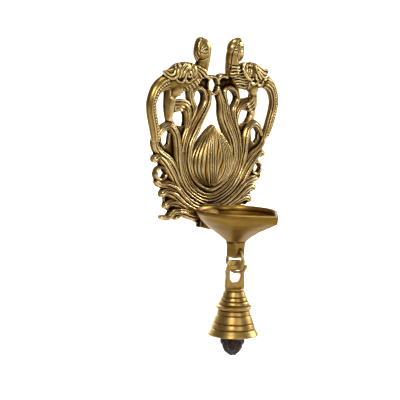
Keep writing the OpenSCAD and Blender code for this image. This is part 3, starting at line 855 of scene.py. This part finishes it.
def make_bowl():
    bag = Bag()
    rings = []

    def inner(radius, spout, depth):
        rings.append(np.column_stack([bowl_outline(radius, spout), np.full(OUTLINE, RIM_Z - depth)]))

    # outside, from the foot up to the rim, then over the lip and down inside
    for d in np.linspace(BOWL_H, 0.3, 60):
        r, s = section_at(d)
        outline = bowl_outline(r, s, d / BOWL_H)
        band = 0.8 + 0.9 * np.clip(-outline[:, 1] / SPOUT, 0, 1) ** 1.5
        z = d * band if d < BAND else BAND * band + (BOWL_H - BAND * band) * (d - BAND) / (BOWL_H - BAND)
        rings.append(np.column_stack([outline, RIM_Z - z]))
    for wall, d in LIP:
        r, s = section_at(max(d, 0))
        inner(r - wall, s - wall * 1.5, d)
    pull = BOWL_WALL - 0.3
    for d in np.linspace(2.2, FLOOR_D, 16):
        r, s = section_at(d)
        inner(r - pull, s - pull * 1.4, d)
    for share in (0.8, 0.5, 0.25, 0.05):
        inner((r - pull) * share, (s - pull * 1.4) * share, 14.2 + 0.6 * (1 - share))
    rings = [r + np.array([0, BOWL_Y, 0]) for r in rings]
    loft(bag, rings)
    # square lug that flows out of the foot, drilled from front to back
    square = ((-1, -1), (1, -1), (1, 1), (-1, 1))
    loft(bag, [np.array([(x * LUG_W / 2 * grow, BOWL_Y + y * LUG_D / 2 * grow, z) for x, y in square])
               for z, grow in LUG_LEVELS])
    loft(bag, [np.array([(-SEAT_HALF, -5.1, z), (SEAT_HALF, -5.1, z), (SEAT_HALF, -y, z),
                         (-SEAT_HALF, -y, z)])
               for z, y in SEAT_LEVELS])
    fused = remeshed(bag, 0.40, 3, "diya_bowl")
    # flat seat against the plate
    co = points_of(fused)
    co[:, 1] = np.minimum(co[:, 1], SEAT_Y)
    put_points(fused, co)
    drill(fused, (0, BOWL_Y, LUG_HOLE_Z), LUG_HOLE_R, 14)
    store_cavity(fused)
    return fused


def drill(mesh, centre, radius, length):
    """Cuts a round hole along Y in a millimetre mesh."""
    cutter = bmesh.new()
    bmesh.ops.create_cone(cutter, cap_ends=True, segments=48, radius1=radius, radius2=radius, depth=length)
    turn = Vector((0, 1, 0)).to_track_quat("Z", "Y").to_matrix().to_4x4()
    tool_mesh = bpy.data.meshes.new("drill")
    cutter.to_mesh(tool_mesh)
    tool_mesh.transform(Matrix.Translation(centre) @ turn)
    cut(mesh, tool_mesh)


def poured(meshes, into, outward=False):
    """Writes the faces of some meshes into one, with their normals turned outward if asked."""
    bm = bmesh.new()
    for mesh in meshes:
        bm.from_mesh(mesh)
    if outward:
        bmesh.ops.recalc_face_normals(bm, faces=bm.faces)
    bm.to_mesh(into)
    bm.free()
    into.update()
    return into


def cut(mesh, tool_mesh, how="DIFFERENCE"):
    """Takes a closed mesh from another, or joins it on with UNION."""
    target = placed("target", mesh)
    tool = placed("tool", tool_mesh)
    mod = target.modifiers.new("cut", "BOOLEAN")
    mod.operation = how
    mod.object = tool
    mod.solver = "EXACT"
    graph = bpy.context.evaluated_depsgraph_get()
    result = bpy.data.meshes.new_from_object(target.evaluated_get(graph))
    poured([result], mesh)
    bpy.data.objects.remove(target)
    bpy.data.objects.remove(tool)
    bpy.data.meshes.remove(result)
    bpy.data.meshes.remove(tool_mesh)


# ---------------------------------------------------------------- ring, bell and clapper
RING_R, WIRE_R = 7.0, 0.95
RING_SAG = RING_R - math.sqrt(RING_R ** 2 - (LUG_D / 2) ** 2)
RING_Z = LUG_HOLE_Z + RING_SAG / 2 - RING_R
# Where the wire's first end is and how far it runs on, in degrees, and the points along it
WIRE_START, WIRE_RUN, WIRE_POINTS = -10, -396, 240


def make_ring():
    """A full turn of wire in the plane x = 0, whose first end stands off to the side at the front."""
    path = []
    for k in range(WIRE_POINTS):
        deg = WIRE_START + WIRE_RUN * k / (WIRE_POINTS - 1)
        back_in = min(1, max(0, -deg - 40) / 38)
        aside = 2.3 * max(0, math.cos(math.radians(90 * back_in))) ** 0.8
        r = RING_R + aside * 0.35
        path.append((aside, BOWL_Y - r * math.cos(math.radians(deg)),
                     RING_Z + r * math.sin(math.radians(deg))))
    bag = Bag()
    # the wire is a little thicker at the front and back of the ring, clear of the lug and the bell
    swell = [0.24 * max(0, math.cos(math.radians(2 * (WIRE_START + WIRE_RUN * k / 32)))) for k in range(33)]
    tube(bag, path, [WIRE_R + v for v in swell], 28, 0.3, 0)
    data = bag.mesh("wire_ring")
    store_cavity(data)
    return data


BELL_TOP, BELL_TURN, BELL_SIDES = -124.5, math.radians(-20), 144
# Round bar at the top of the loop, which rests on the ring
BAR_R, BAR_HALF = 2.2, 4.6
BAR_Z = RING_Z - RING_R + WIRE_R + 0.1 + BAR_R
# Loop on the bell's crown: thickness, half its width and half the width of its hole
LOOP_T, LOOP_HALF, HOLE_HALF = 3.7, 6.5, 3.85
# Turned outside of the bell, [depth below the top, radius]
BELL_OUT = [(0, 6.0), (0.4, 6.3), (1.0, 6.35), (1.2, 6.0), (1.7, 6.0), (1.9, 6.5), (3.2, 7.0), (4.7, 7.5),
            (4.9, 7.2), (5.3, 7.25), (5.5, 7.85), (6.4, 8.2), (7.2, 8.5), (7.4, 8.25), (7.8, 8.3),
            (8.0, 8.95), (8.7, 9.3), (9.4, 9.55), (9.8, 9.55), (9.95, 9.3), (10.2, 9.5), (10.6, 10.6),
            (11.1, 11.2), (11.7, 11.25), (12.5, 10.8), (13.0, 10.3),
            (13.2, 9.75), (13.75, 9.75), (13.95, 10.2), (14.7, 10.35), (15.8, 10.7), (16.0, 10.45),
            (16.45, 10.5), (16.65, 10.95), (18.5, 11.7), (20.8, 12.55), (21.0, 12.2), (21.55, 12.3),
            (21.75, 12.8), (23.2, 13.3), (24.3, 13.65), (24.5, 13.3), (25.1, 13.4), (25.3, 13.95),
            (26.5, 14.6), (28.0, 15.45), (28.7, 15.8), (29.0, 15.85), (29.2, 15.6)]
# Inside of the bell, from the mouth up, [depth below the top, radius]
BELL_IN = [(29.2, 13.9), (27.6, 13.4), (23.5, 12.1), (19.5, 10.3), (15.5, 8.9), (12, 8.2), (9.8, 8.1),
           (7, 7.3), (4.2, 6.2), (3.2, 5.2), (3.0, 3.6), (3.0, 0.04)]
GROOVE_DARK = 0.22
# Turned grooves, [first, last depth], that hold the dark
BELL_GROOVES = ((1.15, 1.75), (4.85, 5.35), (7.35, 7.85), (9.9, 10.25), (13.15, 13.8), (15.95, 16.5),
                (20.95, 21.6), (24.45, 25.15))


def lathe(bag, profile, sides):
    """Turns a closed [radius, z] profile about the bell's axis."""
    rings = []
    for a in np.linspace(0, 2 * math.pi, sides, endpoint=False):
        rings.append(np.column_stack([profile[:, 0] * math.cos(a), profile[:, 0] * math.sin(a),
                                      profile[:, 1]]))
    n = len(profile)
    faces = []
    for i in range(sides):
        j = (i + 1) % sides
        for k in range(n):
            faces.append((i * n + k, i * n + (k + 1) % n, j * n + (k + 1) % n, j * n + k))
    bag.add(np.concatenate(rings), faces)


def make_bell():
    outside = even(np.array([(r, BELL_TOP - d) for d, r in BELL_OUT]), 0.2)[0]
    inside = np.array([(r, BELL_TOP - d) for d, r in BELL_IN])
    profile = np.concatenate([[(0.04, BELL_TOP)], outside, inside])
    bag = Bag()
    lathe(bag, profile, BELL_SIDES)
    body = bag.mesh("bell")
    poured([body], body, True)
    both = poured([body, make_loop()], bpy.data.meshes.new("bell"))
    both.transform(Matrix.Translation((0, BOWL_Y, 0)) @ Matrix.Rotation(BELL_TURN, 4, "Z"))
    store_cavity(both)
    co = points_of(both)
    depth = BELL_TOP - co[:, 2]
    outer = np.hypot(co[:, 0], co[:, 1] - BOWL_Y) > np.interp(depth, *zip(*BELL_OUT)) - 0.3
    held = np.zeros(len(co), bool)
    for first, last in BELL_GROOVES:
        held |= (depth > first) & (depth < last) & outer
    level = np.empty(len(co), np.float32)
    both.attributes["cavity"].data.foreach_get("value", level)
    level[held] = GROOVE_DARK
    both.attributes["cavity"].data.foreach_set("value", level)
    return both


def make_loop():
    """The cast stirrup on the crown, with a round bar across its top."""
    bag = Bag()
    t = LOOP_T / 2
    w = LOOP_HALF
    top = BAR_Z + 4.5
    right = [(3.2, top), (w - 1.2, BAR_Z + 1.4), (w - 0.1, BAR_Z - 3), (w - 0.4, BAR_Z - 6),
             (w, BELL_TOP + 3),
             (w, BELL_TOP + 0.6), (w - 0.9, BELL_TOP - 0.6)]
    outer = np.array([(-3.2, top)] + right + mirrored(right)[:0:-1])
    n = len(outer)
    middle = outer.mean(axis=0)
    rings = []
    for y, draw in ((-t, 0.93), (-t + 0.5, 1.0), (t - 0.5, 1.0), (t, 0.93)):
        ring = middle + (outer - middle) * draw
        rings.append(np.column_stack([ring[:, 0], np.full(n, y), ring[:, 1]]))
    loft(bag, rings)
    loop = remeshed(bag, 0.3, 3, "loop")
    co = points_of(loop)
    x, y, z = co.T
    rough = np.sin(x * 1.7 + 2) * np.sin(z * 1.3) + 0.6 * np.sin(x * 3.9) * np.sin(z * 3.1 + y)
    put_points(loop, co - normals_of(loop) * (0.07 * (1 + rough))[:, None])
    low = BAR_Z - 9.8
    hole = [(HOLE_HALF * math.cos(a), low + HOLE_HALF + HOLE_HALF * math.sin(a))
            for a in np.linspace(math.pi, 2 * math.pi, 25)]
    hole = np.array(hole + [(HOLE_HALF, BAR_Z), (-HOLE_HALF, BAR_Z)])
    tool = Bag()
    loft(tool, [np.column_stack([hole[:, 0], np.full(len(hole), y), hole[:, 1]]) for y in (-5, 5)])
    tool_mesh = tool.mesh("hole")
    poured([tool_mesh], tool_mesh, True)
    cut(loop, tool_mesh)
    bar = Bag()
    turn = np.linspace(0, 2 * math.pi, 40, endpoint=False)
    loft(bar, [np.column_stack([np.full(40, x), BAR_R * np.cos(turn), BAR_Z + BAR_R * np.sin(turn)])
               for x in np.linspace(-BAR_HALF, BAR_HALF, 30)])
    bar_mesh = bar.mesh("bar")
    poured([bar_mesh], bar_mesh, True)
    cut(loop, bar_mesh, "UNION")
    return loop


# Height of the tang's hole, and its radius
TANG_Z, TANG_HOLE_R = -143.302, 1.38
# The chunk as [z, radius], and lumps on it as [x, y, z], then three radii
CHUNK = ((-146.4, 1.2), (-147.0, 4.0), (-150.3, 6.2), (-153.6, 7.0), (-157.0, 7.3), (-160.5, 7.2),
         (-162.8, 6.5), (-164.8, 5.0), (-166.4, 3.0), (-167.2, 1.2))
LUMPS = (((4.2, -2.2, -157.6), (3.1, 3.4, 4.2)), ((-3.6, -3.4, -159.8), (3.4, 3.2, 4.0)),
         ((0.6, -4.6, -155.4), (3.2, 2.4, 3.0)), ((-4.4, 2.6, -157), (2.8, 3.2, 4)),
         ((2.6, 3.6, -160), (3.4, 3, 4)))


def make_clapper():
    """A rough chunk of iron under a drilled tang."""
    bag = Bag()
    sides = 24
    rings = []
    for z, r in CHUNK:
        ring = []
        for k in range(sides):
            a = 2 * math.pi * k / sides
            facet = math.cos(math.pi / 6) / math.cos((a + 0.3) % (math.pi / 3) - math.pi / 6)
            lump = 1 + 0.05 * math.sin(2 * a + z * 0.6) + 0.05 * math.sin(3 * a - z * 0.9)
            ring.append((r * facet * lump * math.cos(a), r * facet * lump * math.sin(a), z))
        rings.append(np.array(ring))
    loft(bag, rings)
    for centre, radii in LUMPS:
        ball(bag, centre, radii, 12, 16)
    tang = [(-3.1, -1.3), (3.1, -1.3), (3.1, 1.3), (-3.1, 1.3)]
    loft(bag, [np.array([(x, y, z) for x, y in tang]) for z in (-149, TANG_Z + 2.6)])
    fused = remeshed(bag, 0.33, 2, "clapper")
    co = points_of(fused)
    nor = normals_of(fused)
    x, y, z = co.T
    rough = np.sin(x * 1.3 + 1) * np.sin(y * 1.9) * np.sin(z * 1.1)
    rough = rough + 0.5 * np.sin(x * 4.1) * np.sin(z * 3.7 + y * 3)
    low = np.clip((-148.5 - z) / 2, 0, 1)
    co -= nor * (0.28 * (1 + rough) * low)[:, None]
    put_points(fused, co)
    drill(fused, (0, 0, TANG_Z), TANG_HOLE_R, 6)
    fused.transform(Matrix.Translation((0, BOWL_Y, 0)))
    store_cavity(fused)
    return fused


# ---------------------------------------------------------------- assembly
def build():
    leaf_brass = antique_brass("leaf_brass", (0.70, 0.52, 0.25), (0.34, 0.200, 0.042), (0.036, 0.015, 0.002),
                               1.0)
    bud_brass = antique_brass("bud_brass", (0.70, 0.53, 0.25), (0.35, 0.215, 0.050), (0.040, 0.018, 0.002),
                              1.0)
    bird_brass = antique_brass("bird_brass", (0.70, 0.53, 0.25), (0.33, 0.205, 0.048), (0.040, 0.018, 0.002),
                               0.9)
    bowl_brass = satin_brass("bowl_brass", (0.30, 0.175, 0.034), (0.165, 0.088, 0.012), (70, 70, 260), 0.36)
    bell_brass = satin_brass("bell_brass", (0.44, 0.285, 0.085), (0.30, 0.18, 0.042), (40, 40, 1400), 0.36)
    ring_brass = satin_brass("ring_brass", (0.42, 0.31, 0.11), (0.28, 0.18, 0.05), (300, 300, 300), 0.30)
    iron = dark_iron("dark_iron")
    steel = zinc_steel("screw_steel")

    piece("leaf_plate", make_fan(), "root", leaf_brass, ["leaf_fan"])
    piece("lotus_bud_fluted", make_bud(), "root", bud_brass, ["lotus_bud"])
    piece("left_bird_feathered", make_bird(-1), "root", bird_brass, ["left_bird"])
    piece("right_bird_feathered", make_bird(1), "root", bird_brass, ["right_bird"])
    piece("oil_bowl", make_bowl(), "root", bowl_brass, ["diya_bowl"])
    piece("ring_of_wire", make_ring(), "ring", ring_brass, ["wire_ring"])
    piece("turned_bell", make_bell(), "bell_body", bell_brass, ["bell"])
    piece("iron_clapper", make_clapper(), "clapper_body", iron, ["clapper"])
    for name, mat in (("bowl_screw", steel), ("crown_staple", iron), ("clapper_link", iron)):
        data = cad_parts[name].data
        data.materials.clear()
        data.materials.append(mat)


# ---------------------------------------------------------------- stage, light and camera
def area(name, place, aim, size, power, colour=(1, 1, 1)):
    data = bpy.data.lights.new(name, "AREA")
    data.shape = "RECTANGLE"
    data.size, data.size_y = size
    data.energy = power
    data.color = colour
    lamp = placed(name, data)
    lamp.location = place
    lamp.rotation_euler = (Vector(aim) - Vector(place)).to_track_quat("-Z", "Y").to_euler()


def make_stage():
    """A pale floor that sweeps up into a backdrop."""
    sweep = [(1.2 + 0.8 * math.sin(a), 0.48 - 0.8 * math.cos(a)) for a in np.linspace(0.1, math.pi / 2, 16)]
    profile = [(-3.0, -0.32), (1.2, -0.32)] + sweep + [(2.0, 3.0)]
    points, faces = [], []
    for y, z in profile:
        points += [(-4, y, z), (4, y, z)]
    for k in range(len(profile) - 1):
        faces.append((2 * k, 2 * k + 1, 2 * k + 3, 2 * k + 2))
    data = bpy.data.meshes.new("backdrop")
    data.from_pydata(points, [], faces)
    data.polygons.foreach_set("use_smooth", [True] * len(faces))
    floor = placed("backdrop", data)
    mat, tree, bsdf = shader("pale_paper", 0.0)
    tone = ramp(tree, grain(tree, 3, 2, 0.5), [(0.3, (0.90, 0.90, 0.90)), (0.7, (0.93, 0.93, 0.93))])
    tree.links.new(tone, bsdf.inputs["Base Color"])
    bsdf.inputs["Roughness"].default_value = 0.9
    data.materials.append(mat)


def make_light():
    world = bpy.data.worlds.new("studio")
    world.use_nodes = True
    tree = world.node_tree
    where = tree.nodes.new("ShaderNodeTexCoord")
    split = tree.nodes.new("ShaderNodeSeparateXYZ")
    tree.links.new(where.outputs["Generated"], split.inputs[0])
    sky = ramp(tree, scaled(tree, split.outputs["Z"], -1, 1, 0, 1),
               [(0.0, (0.07, 0.055, 0.04)), (0.42, (0.12, 0.10, 0.08)), (0.62, (0.38, 0.37, 0.36)),
                (1.0, (0.75, 0.75, 0.76))])
    tree.links.new(sky, tree.nodes["Background"].inputs[0])
    tree.nodes["Background"].inputs[1].default_value = 0.32
    bpy.context.scene.world = world
    aim = (0, -0.03, -0.07)
    area("key", (-0.95, -0.75, 0.65), aim, (0.40, 0.40), 8.0)
    area("front", (-0.15, -1.3, 0.25), aim, (0.45, 0.7), 4, (1.0, 0.98, 0.95))
    area("side", (1.0, -0.5, 0.2), aim, (0.2, 0.9), 2.6)
    area("top", (0.0, -0.1, 1.0), aim, (0.5, 0.3), 3)
    for side in (-1, 1):
        area("backdrop_%d" % side, (1.3 + side * 0.9, 0.5 - side * 0.9, 0.9), (1.3, 1.6, 0.1), (0.8, 0.8),
             50)


# Direction from the lamp to the camera; metres, and millimetres for the lens
AZIMUTH, ELEVATION, ROLL = math.radians(-42.6), math.radians(6.8), math.radians(1.8)
DISTANCE = 0.98
LENS = 142.2
LOOK_AT = Vector((-0.0104, -0.006, -0.07165))


def make_camera():
    level = math.cos(ELEVATION)
    back = Vector((math.sin(AZIMUTH) * level, -math.cos(AZIMUTH) * level, math.sin(ELEVATION)))
    data = bpy.data.cameras.new("camera")
    data.lens = LENS
    data.sensor_width = 36
    data.clip_start = 0.05
    cam = placed("camera", data)
    cam.location = LOOK_AT + DISTANCE * back
    turn = back.to_track_quat("Z", "Y").to_matrix() @ Matrix.Rotation(ROLL, 3, "Z")
    cam.rotation_euler = turn.to_euler()
    bpy.context.scene.camera = cam
    bpy.context.scene.view_settings.view_transform = "Standard"


make_camera()
make_stage()
make_light()
build()
